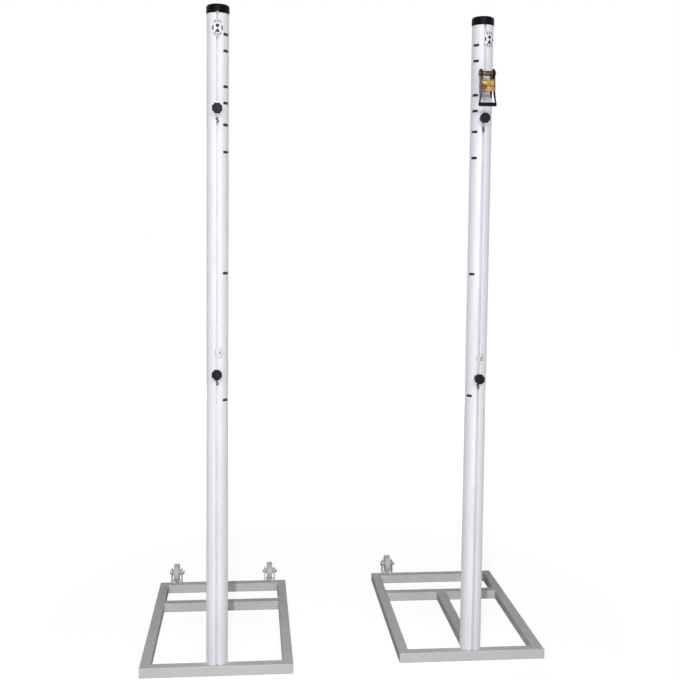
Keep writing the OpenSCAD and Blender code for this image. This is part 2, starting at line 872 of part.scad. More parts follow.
on_stand(1) clamp_shoe(right_upper_z);  // right_upper_clamp_shoe
on_stand(1) knob(right_upper_z);  // right_upper_knob
on_stand(1) slide_bolt(right_lower_z, lower_hook_drop);  // right_lower_slide_bolt
on_stand(1) clamp_shoe(right_lower_z);  // right_lower_clamp_shoe
on_stand(1) knob(right_lower_z);  // right_lower_knob
on_stand(1) ratchet_mount_block();
on_stand(1) ratchet_mount_screws();
on_stand(1) ratchet_frame();
on_stand(1) ratchet_anchor_bolt();
on_stand(1) ratchet_frame_pawl();
on_stand(1) ratchet_spool_bars();
on_stand(1) ratchet_toothed_wheels();
on_stand(1) ratchet_split_pins();
on_stand(1) ratchet_handle();
on_stand(1) ratchet_release_plate();
on_stand(1) ratchet_grip();
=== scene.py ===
import math

import bmesh
import bpy
from mathutils import Matrix, Vector


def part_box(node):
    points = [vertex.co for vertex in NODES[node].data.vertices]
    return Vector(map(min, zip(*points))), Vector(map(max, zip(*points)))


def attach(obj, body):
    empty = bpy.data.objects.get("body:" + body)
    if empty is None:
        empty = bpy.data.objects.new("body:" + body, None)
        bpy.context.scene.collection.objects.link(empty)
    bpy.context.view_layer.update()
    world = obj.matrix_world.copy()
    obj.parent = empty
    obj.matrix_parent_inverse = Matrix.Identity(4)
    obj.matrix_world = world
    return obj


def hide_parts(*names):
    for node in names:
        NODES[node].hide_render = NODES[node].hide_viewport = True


# Looks of a pair of free-standing net posts: materials for the CAD solids, finer caps, knobs and grip,
# printed labels, weld beads, a pale studio and the photograph's camera. Lengths are in metres.

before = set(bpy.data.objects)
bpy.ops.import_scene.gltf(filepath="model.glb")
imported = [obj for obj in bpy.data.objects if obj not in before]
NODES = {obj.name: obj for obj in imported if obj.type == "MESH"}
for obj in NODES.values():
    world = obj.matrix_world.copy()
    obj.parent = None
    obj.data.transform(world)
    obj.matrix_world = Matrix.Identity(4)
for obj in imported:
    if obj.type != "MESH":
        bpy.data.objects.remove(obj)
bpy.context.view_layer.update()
SIDES = ("left", "right")
MM = 0.001


# ---- places, read from the frame ------------------------------------------------------------------------

POST_R = (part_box("left_post")[1].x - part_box("left_post")[0].x) / 2


def post_axis(side):
    """Where the post's axis meets the floor."""
    low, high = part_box(f"{side}_post")
    return Vector(((low.x + high.x) / 2, high.y - POST_R, 0))


AXIS = {side: post_axis(side) for side in SIDES}
# the way along X from each post to the other
INWARD = {"left": 1, "right": -1}


# ---- shader helpers -------------------------------------------------------------------------------------

def linear(r, g, b):
    """A colour written as 0 to 255 display values, as a shader takes it."""
    def one(v):
        v /= 255
        return v / 12.92 if v <= 0.04045 else ((v + 0.055) / 1.055) ** 2.4
    return (one(r), one(g), one(b), 1.0)


def add_node(tree, kind, values=None, **settings):
    """A new node. Values are linked to its inputs or set on them; settings are its own."""
    node = tree.nodes.new(kind)
    for key, value in settings.items():
        setattr(node, key, value)
    for key, value in (values or {}).items():
        if isinstance(value, bpy.types.NodeSocket):
            tree.links.new(value, node.inputs[key])
        else:
            node.inputs[key].default_value = value
    return node


class Paint:
    """A material being built. Its textures read the piece's own coordinates, in metres."""

    BEVEL_SAMPLES = 4

    def __init__(self, name, metallic, specular=0.5):
        self.mat = bpy.data.materials.new(name)
        self.mat.use_nodes = True
        self.tree = self.mat.node_tree
        self.bsdf = self.tree.nodes["Principled BSDF"]
        self.bsdf.inputs["Metallic"].default_value = metallic
        self.bsdf.inputs["Specular IOR Level"].default_value = specular
        self.here = self.add("ShaderNodeTexCoord").outputs["Object"]

    def add(self, kind, values=None, **settings):
        return add_node(self.tree, kind, values, **settings)

    def scaled(self, scale, shift=(0, 0, 0)):
        values = {"Vector": self.here, "Scale": scale, "Location": shift}
        return self.add("ShaderNodeMapping", values).outputs["Vector"]

    def noise(self, size, detail, rough, stretch=(1, 1, 1), shift=(0, 0, 0)):
        """Noise whose blobs are about size metres across; stretch lengthens them along an axis."""
        place = self.scaled(tuple(1 / (size * s) for s in stretch), shift)
        values = {"Vector": place, "Scale": 1.0, "Detail": detail, "Roughness": rough}
        return self.add("ShaderNodeTexNoise", values).outputs["Fac"]

    def crystals(self, size):
        """A different level, 0 to 1, in each crystal of about size metres."""
        values = {"Vector": self.scaled((1 / size, 1 / size, 1 / size)), "Scale": 1.0}
        colour = self.add("ShaderNodeTexVoronoi", values).outputs["Color"]
        return self.add("ShaderNodeSeparateColor", {0: colour}).outputs[0]

    def steps(self, value, *pairs):
        """Maps value through points (where, level); a level may be a colour."""
        node = self.add("ShaderNodeValToRGB", {"Fac": value})
        ramp = node.color_ramp
        while len(ramp.elements) < len(pairs):
            ramp.elements.new(1.0)
        for element, (where, level) in zip(ramp.elements, pairs):
            element.position = where
            element.color = level if isinstance(level, tuple) else (level, level, level, 1.0)
        return node.outputs["Color"]

    def maths(self, operation, a, b):
        return self.add("ShaderNodeMath", {0: a, 1: b}, operation=operation).outputs[0]

    def mixed(self, share, a, b):
        """Colour a, with a share of colour b mixed in."""
        return self.add("ShaderNodeMix", {0: share, 6: a, 7: b}, data_type="RGBA").outputs[2]

    def rounded(self, radius):
        node = self.add("ShaderNodeBevel", {"Radius": radius}, samples=self.BEVEL_SAMPLES)
        return node.outputs["Normal"]

    def edges(self, radius):
        """1 on an outer edge and 0 away from it."""
        true_normal = self.add("ShaderNodeNewGeometry").outputs["True Normal"]
        values = {0: self.rounded(radius), 1: true_normal}
        dot = self.add("ShaderNodeVectorMath", values, operation="DOT_PRODUCT").outputs["Value"]
        return self.steps(self.maths("SUBTRACT", 1.0, dot), (0.02, 0.0), (0.22, 1.0))

    def up(self):
        """1 on faces that look up, 0 on upright ones."""
        normal = self.add("ShaderNodeNewGeometry").outputs["Normal"]
        rise = self.add("ShaderNodeSeparateXYZ", {0: normal}).outputs["Z"]
        return self.steps(rise, (0.3, 0.0), (0.9, 1.0))

    def height(self):
        return self.add("ShaderNodeSeparateXYZ", {0: self.here}).outputs["Z"]

    def before_posts(self):
        """1 in front of a plane that touches both posts' fronts, 0 behind it."""
        left, right = AXIS["left"], AXIS["right"]
        slope = (right.y - left.y) / (right.x - left.x)
        values = {0: self.here, 1: (-slope, 1, 0)}
        depth = self.add("ShaderNodeVectorMath", values, operation="DOT_PRODUCT").outputs["Value"]
        return self.maths("LESS_THAN", depth, left.y - slope * left.x - POST_R)

    @staticmethod
    def tone(colour, shares):
        """The same colour with its red, green and blue scaled."""
        return tuple(c * s for c, s in zip(colour, shares)) + (1.0,)

    def finish(self, colour, rough, bumps, round_edges=None):
        """Bumps are (height, depth in metres); round_edges is the radius that softens sharp edges."""
        self.tree.links.new(colour, self.bsdf.inputs["Base Color"])
        self.tree.links.new(rough, self.bsdf.inputs["Roughness"])
        under = {"Normal": self.rounded(round_edges)} if round_edges else {}
        for value, depth in bumps:
            values = {"Height": value, "Distance": depth, "Strength": 1.0} | under
            under = {"Normal": self.add("ShaderNodeBump", values).outputs["Normal"]}
        self.tree.links.new(under["Normal"], self.bsdf.inputs["Normal"])
        return self.mat


# ---- materials ------------------------------------------------------------------------------------------
# A noise is given as its size in metres, its detail and its roughness; a step as (where, level).

def post_aluminium():
    """Pale satin coat on an extruded tube: fine lines along the post, faint smears, dust at the foot."""
    p = Paint("post_aluminium", 0.42, 1.0)
    lines = p.noise(0.0016, 3, 0.6, (1, 1, 220))
    smears = p.noise(0.05, 4, 0.6, (1, 1, 5))
    specks = p.noise(0.0022, 2, 0.6)
    smeared = p.steps(smears, (0.35, 0.0), (0.75, 1.0))
    colour = p.mixed(smeared, linear(235, 235, 241), linear(228, 228, 235))
    colour = p.mixed(p.steps(lines, (0.3, 0.0), (0.7, 0.25)), colour, linear(220, 220, 226))
    low = p.steps(p.height(), (0.05, 0.36), (0.5, 0.06))
    dirt = p.maths("MULTIPLY", p.steps(specks, (0.6, 0.0), (0.7, 1.0)), low)
    colour = p.mixed(dirt, colour, linear(176, 172, 164))
    rough = p.steps(smears, (0.3, 0.74), (0.7, 0.84))
    return p.finish(colour, rough, [(lines, 0.00006), (specks, 0.00002)], 0.0006)


def frame_paint():
    """Pale grey coat on steel tube: orange peel, dust and painted shade on top, scuffs and small chips on the
    edges.
    """
    p = Paint("frame_paint", 0.0, 0.002)
    peel = p.noise(0.0016, 2, 0.5)
    cloud = p.noise(0.09, 4, 0.6)
    chips = p.noise(0.006, 4, 0.7)
    worn = p.maths("MULTIPLY", p.edges(0.003), p.steps(chips, (0.56, 0.0), (0.62, 1.0)))
    clouded = p.steps(cloud, (0.35, 0.0), (0.7, 1.0))
    colour = p.mixed(clouded, linear(219, 217, 219), linear(211, 210, 211))
    # dust on the faces that look up, a little darker than the coat: it also paints the tops' shade
    dust_and_shade = p.steps(p.noise(0.03, 5, 0.65), (0.35, 0.2), (0.75, 0.8))
    colour = p.mixed(p.maths("MULTIPLY", p.up(), dust_and_shade), colour, linear(204, 202, 197))
    colour = p.mixed(worn, colour, linear(128, 126, 122))
    rough = p.steps(cloud, (0.3, 0.48), (0.7, 0.62))
    return p.finish(colour, rough, [(peel, 0.00009), (chips, 0.00004)], 0.0008)


def plated(name, light, dark, rough_low, rough_high, crystal, metallic):
    """Zinc plate: soft crystal patches, dull smears, brighter rubbed edges."""
    p = Paint(name, metallic)
    patch = p.crystals(crystal)
    smear = p.noise(0.012, 4, 0.6)
    colour = p.mixed(p.steps(patch, (0.0, 0.0), (1.0, 0.6)), light, dark)
    colour = p.mixed(p.steps(smear, (0.45, 0.0), (0.8, 0.8)), colour, dark)
    colour = p.mixed(p.maths("MULTIPLY", p.edges(0.0008), 0.6), colour, light)
    rough = p.steps(smear, (0.3, rough_low), (0.75, rough_high))
    return p.finish(colour, rough, [(p.noise(0.0009, 3, 0.6), 0.00004)], 0.0004)


def clamp_steel():
    """Bright drawn blocks that stay in the slot, hooks of dull dark bar in front of it."""
    p = Paint("clamp_steel", 0.3)
    smear = p.steps(p.noise(0.012, 4, 0.6), (0.4, 0.0), (0.75, 0.8))
    block = p.mixed(smear, linear(206, 206, 210), linear(184, 184, 189))
    hook = p.mixed(smear, linear(92, 92, 96), linear(62, 62, 66))
    colour = p.mixed(p.before_posts(), block, hook)
    rough = p.steps(p.noise(0.008, 4, 0.6, shift=(2.2, 0.7, 4.1)), (0.3, 0.4), (0.75, 0.58))
    return p.finish(colour, rough, [(p.noise(0.0009, 3, 0.6), 0.00004)], 0.0004)


def passivated(name, bright, middle, deep, edge, metallic):
    """Yellow passivated steel: clouds of tarnish, greenish and reddish tints, paler rubbed edges."""
    p = Paint(name, metallic, 0.2)
    cloud = p.noise(0.009, 4, 0.65)
    tint = p.noise(0.014, 3, 0.6, shift=(3.1, 7.7, 1.3))
    stain = p.noise(0.02, 3, 0.6, shift=(1.7, 0.4, 5.2))
    colour = p.steps(cloud, (0.25, bright), (0.5, middle), (0.75, deep))
    reddish, greenish = p.tone(middle, (0.95, 0.8, 0.8)), p.tone(middle, (0.75, 0.95, 1.0))
    colour = p.mixed(p.steps(tint, (0.5, 0.0), (0.7, 0.45)), colour, reddish)
    colour = p.mixed(p.steps(tint, (0.28, 0.4), (0.42, 0.0)), colour, greenish)
    stained = p.steps(stain, (0.44, 0.0), (0.58, 0.85))
    colour = p.mixed(stained, colour, p.tone(deep, (0.8, 0.5, 0.42)))
    colour = p.mixed(p.maths("MULTIPLY", p.edges(0.0008), 0.7), colour, edge)
    rough = p.steps(cloud, (0.3, 0.26), (0.75, 0.46))
    bumps = [(p.noise(0.0011, 3, 0.6), 0.00004), (p.noise(0.006, 2, 0.5), 0.0001)]
    return p.finish(colour, rough, bumps, 0.0005)


def moulded(name, colour, worn, rough_low, rough_high, grain, depth, specular=0.5):
    """Moulded plastic or rubber: fine grain, slight cloudiness, paler where it is rubbed."""
    p = Paint(name, 0.0, specular)
    texture = p.noise(grain, 3, 0.6)
    cloud = p.noise(0.015, 4, 0.6)
    rubbed = p.steps(p.noise(0.003, 4, 0.7), (0.4, 0.0), (0.6, 1.0))
    scuff = p.maths("MULTIPLY", p.edges(0.0012), rubbed)
    tone = p.mixed(p.steps(cloud, (0.3, 0.0), (0.8, 0.6)), colour, worn)
    tone = p.mixed(p.maths("MULTIPLY", scuff, 0.7), tone, worn)
    rough = p.steps(cloud, (0.3, rough_low), (0.7, rough_high))
    return p.finish(tone, rough, [(texture, depth)])


def printed(name, colour, worn):
    """Printed film: slightly uneven ink, a little worn."""
    p = Paint(name, 0.0, 0.3)
    wear = p.noise(0.0025, 4, 0.7)
    tone = p.mixed(p.steps(wear, (0.55, 0.0), (0.72, 0.6)), colour, worn)
    rough = p.steps(wear, (0.3, 0.4), (0.7, 0.6))
    return p.finish(tone, rough, [(p.noise(0.0006, 2, 0.5), 0.00002)])


# name: light colour, dark colour, least and most roughness, crystal size, metallic
PLATED = {
    "bracket_zinc": (linear(186, 186, 188), linear(160, 161, 165), 0.42, 0.56, 0.004, 0.25),
    "bolt_zinc": (linear(150, 150, 154), linear(92, 92, 96), 0.3, 0.48, 0.002, 0.7),
}
# name: bright, middle, deep and edge colours, metallic
PASSIVATED = {
    "ratchet_gold": (linear(156, 139, 92), linear(124, 102, 58), linear(74, 54, 30),
                     linear(190, 174, 132), 0.85),
    # a darker copy of the gold: painted shade for the ratchet's frame, handle, wheels and pawl
    "ratchet_bronze": (linear(46, 37, 29), linear(34, 27, 22), linear(22, 18, 16),
                       linear(72, 60, 46), 0.4),
}
# name: colour, worn colour, least and most roughness, grain size and depth, specular level
MOULDED = {
    "cap_plastic": (linear(7, 7, 8), linear(18, 17, 18), 0.24, 0.38, 0.0008, 0.00003, 0.06),
    "knob_plastic": (linear(16, 16, 18), linear(44, 43, 47), 0.34, 0.5, 0.0006, 0.00006, 0.12),
    "wheel_nylon": (linear(214, 213, 208), linear(190, 188, 182), 0.4, 0.55, 0.0008, 0.00004),
    "wheel_tyre": (linear(216, 215, 212), linear(190, 188, 184), 0.5, 0.7, 0.0007, 0.00008),
    "shoe_rubber": (linear(26, 26, 27), linear(58, 57, 57), 0.55, 0.75, 0.0006, 0.0001, 0.3),
    "grip_rubber": (linear(7, 7, 7), linear(28, 25, 25), 0.5, 0.7, 0.0007, 0.0001, 0.12),
}
# name: colour, worn colour
PRINTED = {
    "mark_red": (linear(76, 22, 42), linear(116, 64, 80)),
    "mark_dark": (linear(28, 25, 32), linear(76, 74, 80)),
}

MATERIALS = {"post_aluminium": post_aluminium(), "frame_paint": frame_paint(), "clamp_steel": clamp_steel()}
for make, table in ((plated, PLATED), (passivated, PASSIVATED), (moulded, MOULDED), (printed, PRINTED)):
    MATERIALS |= {name: make(name, *values) for name, values in table.items()}

# nodes that don't take the finish of their own slot; the ratchet's frame, handle, wheels and pawl take a
# darker copy of the gold, which paints their shade
OTHER_FINISH = {
    "ratchet_frame": "ratchet_bronze",
    "ratchet_handle": "ratchet_bronze",
    "ratchet_toothed_wheels": "ratchet_bronze",
    "ratchet_frame_pawl": "ratchet_bronze",
    "ratchet_anchor_bolt": "bracket_zinc",
}

for name, node in NODES.items():
    for index, material in enumerate(node.data.materials):
        finish = OTHER_FINISH.get(name, material.name.split(".")[0])
        node.data.materials[index] = MATERIALS[finish]


# ---- mesh helpers ---------------------------------------------------------------------------------------

MERGE = 1e-6


def piece(name, verts, faces, slot, body, smooth_angle=40.0):
    """A new mesh piece that rides on body and takes its finish from slot."""
    mesh = bpy.data.meshes.new(name)
    mesh.from_pydata([tuple(v) for v in verts], [], faces)
    mesh.validate()
    bm = bmesh.new()
    bm.from_mesh(mesh)
    bmesh.ops.remove_doubles(bm, verts=bm.verts, dist=MERGE)
    bmesh.ops.dissolve_degenerate(bm, edges=bm.edges, dist=MERGE)
    bmesh.ops.recalc_face_normals(bm, faces=bm.faces)
    bm.to_mesh(mesh)
    bm.free()
    mesh.shade_smooth()
    mesh.set_sharp_from_angle(angle=math.radians(smooth_angle))
    mesh.materials.append(MATERIALS[slot])
    obj = bpy.data.objects.new(name, mesh)
    bpy.context.scene.collection.objects.link(obj)
    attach(obj, body)
    return obj


def lathe(profile, segments, place):
    """A closed profile of (radius, along), turned; place(radius, angle, along) gives the point."""
    verts, faces = [], []
    count = len(profile)
    for k in range(segments):
        verts += [place(radius, math.tau * k / segments, along) for radius, along in profile]
        this, after = k * count, (k + 1) % segments * count
        for i in range(count):
            j = (i + 1) % count
            faces.append((this + i, this + j, after + j, after + i))
    return verts, faces


def arc(cx, cy, radius, start, end, steps):
    """Points of an arc, angles in degrees."""
    turns = [math.radians(start + (end - start) * i / steps) for i in range(steps + 1)]
    return [(cx + radius * math.cos(t), cy + radius * math.sin(t)) for t in turns]


# ---- printed film on the posts --------------------------------------------------------------------------

FILM_T = 0.12 * MM
FILM_LIFT = 0.05 * MM
PRINT_T = 0.05 * MM
PRINT_LIFT = FILM_LIFT + FILM_T + 0.01 * MM
# the most that a face of film may reach across, so that it doesn't sink under the round post
STRIP = 3.5 * MM


def on_post(side, across, height, lift):
    """A point over the post's skin: across runs round it from the slot, to the right from the front."""
    turn = across / POST_R
    reach = POST_R + lift
    axis = AXIS[side]
    return Vector((axis.x + reach * math.sin(turn), axis.y - reach * math.cos(turn), height))


def film(name, side, strokes, slot, lift=FILM_LIFT, thick=FILM_T):
    """A film that follows the post. Each stroke is an open path of (across, height, half its width)."""
    verts, faces = [], []
    for path in strokes:
        start, last = len(verts), len(path) - 1
        strips = math.ceil(max(half for _, _, half in path) * 2 / STRIP)
        row = strips + 1
        for i, (across, height, half) in enumerate(path):
            before, after = path[max(i - 1, 0)], path[min(i + 1, last)]
            along = Vector((after[0] - before[0], after[1] - before[1])).normalized() * half
            for level in (lift, lift + thick):
                for k in range(row):
                    share = 1 - 2 * k / strips
                    verts.append(on_post(side, across - share * along.y, height + share * along.x, level))
        for i in range(last):
            a, b = start + 2 * row * i, start + 2 * row * (i + 1)
            for k in range(strips):
                faces.append((a + k, b + k, b + k + 1, a + k + 1))
                faces.append((a + row + k, a + row + k + 1, b + row + k + 1, b + row + k))
            faces.append((a, a + row, b + row, b))
            faces.append((a + strips, b + strips, b + row + strips, a + row + strips))
        for end in (start, start + 2 * row * last):
            for k in range(strips):
                faces.append((end + k, end + k + 1, end + row + k + 1, end + row + k))
    return piece(name, verts, faces, slot, f"{side}_stand")


def ink(name, side, strokes):
    """Dark print on a film."""
    return film(name, side, strokes, "mark_dark", PRINT_LIFT, PRINT_T)


def straight(a, b, half, cuts):
    """A straight stroke from a to b."""
    shares = [i / cuts for i in range(cuts + 1)]
    return [(a[0] + (b[0] - a[0]) * s, a[1] + (b[1] - a[1]) * s, half) for s in shares]


def oval(centre, half_w, half_h, cuts=24, start=0.0, end=math.pi):
    """A filled oval, or a part of one, as one stroke from left to right; angles from its left end."""
    turns = [start + (end - start) * i / cuts for i in range(cuts + 1)]
    return [(centre[0] - half_w * math.cos(t), centre[1], half_h * math.sin(t)) for t in turns]


def oval_line(centre, half_w, half_h, half, cuts, start, end):
    """A part of an oval's outline, as a stroke; angles from its left end."""
    turns = [start + (end - start) * i / cuts for i in range(cuts + 1)]
    return [(centre[0] - half_w * math.cos(t), centre[1] + half_h * math.sin(t), half) for t in turns]


# ---- height marks ---------------------------------------------------------------------------------------

MARK_HEIGHTS = (2.43, 2.37, 2.24, 2.18, 2.10, 2.00, 1.55, 1.07)
# the marks' place round the post, from the slot towards the other post
MARK_TURN = math.radians(49)
MARK_HALF_W = 13 * MM
MARK_HALF_H = 5 * MM
MARK_CORNER = 1.2 * MM
CORNER_CUTS = 4
MARK_CUTS = 8
FIGURE_SIZE = 8.4 * MM


def rounded_label(centre):
    """A mark with round corners, as one stroke whose width varies at its ends."""
    left = []
    for i in range(CORNER_CUTS + 1):
        turn = math.pi / 2 * i / CORNER_CUTS
        left.append((centre[0] - MARK_HALF_W + MARK_CORNER * (1 - math.cos(turn)), centre[1],
                     MARK_HALF_H - MARK_CORNER * (1 - math.sin(turn))))
    right = [(2 * centre[0] - x, y, half) for x, y, half in reversed(left)]
    inner = MARK_HALF_W - MARK_CORNER
    middle = straight((centre[0] - inner, centre[1]), (centre[0] + inner, centre[1]), MARK_HALF_H, MARK_CUTS)
    return left + middle[1:-1] + right


def figures(name, side, text, centre):
    """Plain figures laid on a film, centred at (across, height)."""
    curve = bpy.data.curves.new(name, "FONT")
    curve.body = text
    curve.size = FIGURE_SIZE
    curve.align_x, curve.align_y = "CENTER", "CENTER"
    curve.extrude = PRINT_T / 2
    curve.resolution_u = 3
    flat = bpy.data.objects.new(name, curve)
    bpy.context.scene.collection.objects.link(flat)
    mesh = bpy.data.meshes.new_from_object(flat.evaluated_get(bpy.context.evaluated_depsgraph_get()))
    bpy.data.objects.remove(flat)
    verts = [on_post(side, centre[0] + v.co.x, centre[1] + v.co.y, PRINT_LIFT + PRINT_T / 2 + v.co.z)
             for v in mesh.vertices]
    faces = [tuple(p.vertices) for p in mesh.polygons]
    bpy.data.meshes.remove(mesh)
    bpy.data.curves.remove(curve)
    return piece(name, verts, faces, "mark_dark", f"{side}_stand")


def height_marks(side):
    """A red label with dark figures at each net height, on the side that faces the other post."""
    across = INWARD[side] * MARK_TURN * POST_R
    for height in MARK_HEIGHTS:
        text = f"{height:.2f}"
        tag = text.replace(".", "")
        film(f"{side}_mark_{tag}", side, [rounded_label((across, height))], "mark_red")
        figures(f"{side}_figures_{tag}", side, text, (across, height))


# ---- emblem under the cap -------------------------------------------------------------------------------

EMBLEM_DROP = 55 * MM
EMBLEM_TURN = {"left": 0.0, "right": math.radians(26)}
EMBLEM_HALF_W = 22 * MM
EMBLEM_HALF_H = 31 * MM
BALL_R = 6.8 * MM
BALL_RISE = 8 * MM
# the stand under the ball: each bar's drop below the centre and half its length
BARS = ((4.6 * MM, 2.8 * MM), (8.0 * MM, 4.9 * MM), (11.4 * MM, 7.0 * MM), (14.8 * MM, 9.1 * MM))
BAR_HALF = 1.65 * MM
# arcs round them: radius, half width, the arcs' middles and the length of each, in degrees
ARCS = (
    (17.5 * MM, 2.7 * MM, (0, 180), 50),
    (22 * MM, 1.6 * MM, (62, 90, 118, 242, 270, 298), 20),
    (27.5 * MM, 1.6 * MM, (70, 90, 110, 250, 270, 290), 14),
)


def emblem(side):
    """A plain sticker under the cap: a ball over a stand, between two brackets, inside dashed arcs."""
    across = EMBLEM_TURN[side] * POST_R
    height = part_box(f"{side}_post_cap")[0].z - EMBLEM_DROP
    strokes = [oval((across, height + BALL_RISE), BALL_R, BALL_R)]
    for drop, reach in BARS:
        ends = (across - reach, height - drop), (across + reach, height - drop)
        strokes.append(straight(*ends, BAR_HALF, 8))
    for radius, half, middles, length in ARCS:
        for middle in middles:
            points = arc(across, height, radius, middle - length / 2, middle + length / 2, 10)
            strokes.append([(x, y, half) for x, y in points])
    film(f"{side}_emblem_film", side, [oval((across, height), EMBLEM_HALF_W, EMBLEM_HALF_H, 40)],
         "post_aluminium")
    ink(f"{side}_emblem", side, strokes)


# ---- numbered label above the lower knob ----------------------------------------------------------------

LABEL_RISE = 77 * MM
LABEL_SIDE = 7 * MM
LABEL_HALF_W = 17 * MM
LABEL_HALF_H = 20 * MM
LABEL_CUTS = 20
RING_INSET = 2 * MM
RING_HALF = 0.6 * MM
# half the width of the slit that lets the clamp pass
SLIT_HALF = 4.8 * MM
NUMBER_SIDE = 11 * MM
NUMBER_HALF = 1.5 * MM
# each post's number as one stroke, in mm from its centre
NUMBER_PATH = {
    "left": [(-3.4, 3.4), (-1.6, 5.3), (0.2, 7), (0.2, 3.5), (0.2, 0), (0.2, -3.5), (0.2, -7)],
    "right": arc(0, 3.2, 3.6, 165, -40, 12) + [(1.2, -2.6), (-1.2, -4.7), (-3.6, -7), (0, -7), (3.9, -7)],
}


def slit_angles(half_w):
    """Where the slit's left and right edges cross an oval of that half width; angles from its left end."""
    return math.acos((LABEL_SIDE + SLIT_HALF) / half_w), math.acos((LABEL_SIDE - SLIT_HALF) / half_w)


def numbered_label(side):
    """An oval label in two parts, one on each side of the slot, with a ring and the post's number."""
    low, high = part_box(f"{side}_lower_knob")
    height = (low.z + high.z) / 2 + LABEL_RISE
    centre = (LABEL_SIDE, height)
    left, right = slit_angles(LABEL_HALF_W)
    parts = [oval(centre, LABEL_HALF_W, LABEL_HALF_H, LABEL_CUTS, start, end)
             for start, end in ((0, left), (right, math.pi))]
    ring_w, ring_h = LABEL_HALF_W - RING_INSET, LABEL_HALF_H - RING_INSET
    left, right = slit_angles(ring_w)
    rings = [oval_line(centre, ring_w, ring_h, RING_HALF, 2 * LABEL_CUTS, start, end)
             for start, end in ((-left, left), (right, math.tau - right))]
    number = [(NUMBER_SIDE + x * MM, height + y * MM, NUMBER_HALF) for x, y in NUMBER_PATH[side]]
    film(f"{side}_number_film", side, parts, "post_aluminium")
    ink(f"{side}_number_ring", side, rings)
    ink(f"{side}_number", side, [number])


# ---- caps -----------------------------------------------------------------------------------------------

CAP_SEGMENTS = 128
CAP_ROOF = 5 * MM
CAP_PLAY = 0.08 * MM
CAP_LIP = 0.6 * MM
CAP_EDGE = 9 * MM
CAP_DISH = 0.9 * MM
# the dish's rim, above and below, as shares of the cap's radius
DISH_RIM = (0.66, 0.64)
# heights of the two rings that divide the wall, as shares of the cap's height
WALL_RINGS = (0.3, 0.6)
# the opening in the left cap's rim, over the slot
NOTCH_HALF = math.radians(7.5)
NOTCH_HIGH = 5 * MM


def post_cap(side, notched):
    """The cap with a rounded top edge and a shallow dish; notched opens its rim over the slot."""
    low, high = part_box(f"{side}_post_cap")
    outer, rise = (high.x - low.x) / 2, high.z - low.z
    inner, roof = POST_R + CAP_PLAY, rise - CAP_ROOF
    profile = [(0, roof), (inner, roof), (inner, CAP_LIP)]
    profile += arc(inner + CAP_LIP, CAP_LIP, CAP_LIP, 180, 270, 3)
    profile += arc(outer - CAP_LIP, CAP_LIP, CAP_LIP, 270, 360, 3)
    profile += [(outer, rise * share) for share in WALL_RINGS]
    profile += arc(outer - CAP_EDGE, rise - CAP_EDGE, CAP_EDGE, 0, 90, 8)
    profile += [(outer * DISH_RIM[0], rise), (outer * DISH_RIM[1], rise - CAP_DISH), (0, rise - CAP_DISH)]
    axis = AXIS[side]

    def at(radius, angle, along):
        angle -= math.tau if angle > math.pi else 0
        if notched and abs(angle) < NOTCH_HALF and along < NOTCH_HIGH:
            along = NOTCH_HIGH
        return (axis.x + radius * math.sin(angle), axis.y - radius * math.cos(angle), low.z + along)

    verts, faces = lathe(profile, CAP_SEGMENTS, at)
    cap = piece(f"{side}_cap", verts, faces, "cap_plastic", f"{side}_stand", 35)
    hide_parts(f"{side}_post_cap")


# ---- star knobs -----------------------------------------------------------------------------------------

KNOB_SEGMENTS = 160
LOBES = 8
LOBE_SHARE = 0.275
BODY_SHARE = 0.93
# how sharply the lobes meet the body
LOBE_BLEND = 40
# the lobes stand half a step off the box's axes, so the star is wider than its box
STAR_OVER_BOX = 1.0575
# the outline turns from a circle into the star outside this share of the radius
STAR_START = 0.66
NECK_R = 9.5 * MM
NECK_END = 13.5 * MM
NECK_FOOT = 0.6 * MM
# where the neck widens into the back of the star: how far outwards, over what length
FLARE = (1.2 * MM, 1.5 * MM)
BORE_R = 4.08 * MM
BORE_END = 21.8 * MM
KNOB_EDGE = 2.6 * MM
# the dished face and its round insert: share of the radius, depth below the front
KNOB_FACE = ((0.62, 0.2 * MM), (0.56, 1.1 * MM), (0.37, 1.2 * MM), (0.355, 1.7 * MM),
             (0.335, 1.7 * MM), (0.32, 0.7 * MM), (0.2, 0.35 * MM), (0, 0.25 * MM))


def star_reach(angle, knob_r):
    """Radius of the star's outline: round lobes on a round body, shallow hollows between them."""
    lobe_r, body = LOBE_SHARE * knob_r, BODY_SHARE * knob_r
    pitch = math.tau / LOBES
    off = (angle + pitch / 2) % pitch - pitch / 2
    ring = knob_r - lobe_r
    under = lobe_r ** 2 - (ring * math.sin(off)) ** 2
    lobe = ring * math.cos(off) + math.sqrt(under) if under > 0 else 0.0
    return (lobe ** LOBE_BLEND + body ** LOBE_BLEND) ** (1 / LOBE_BLEND)


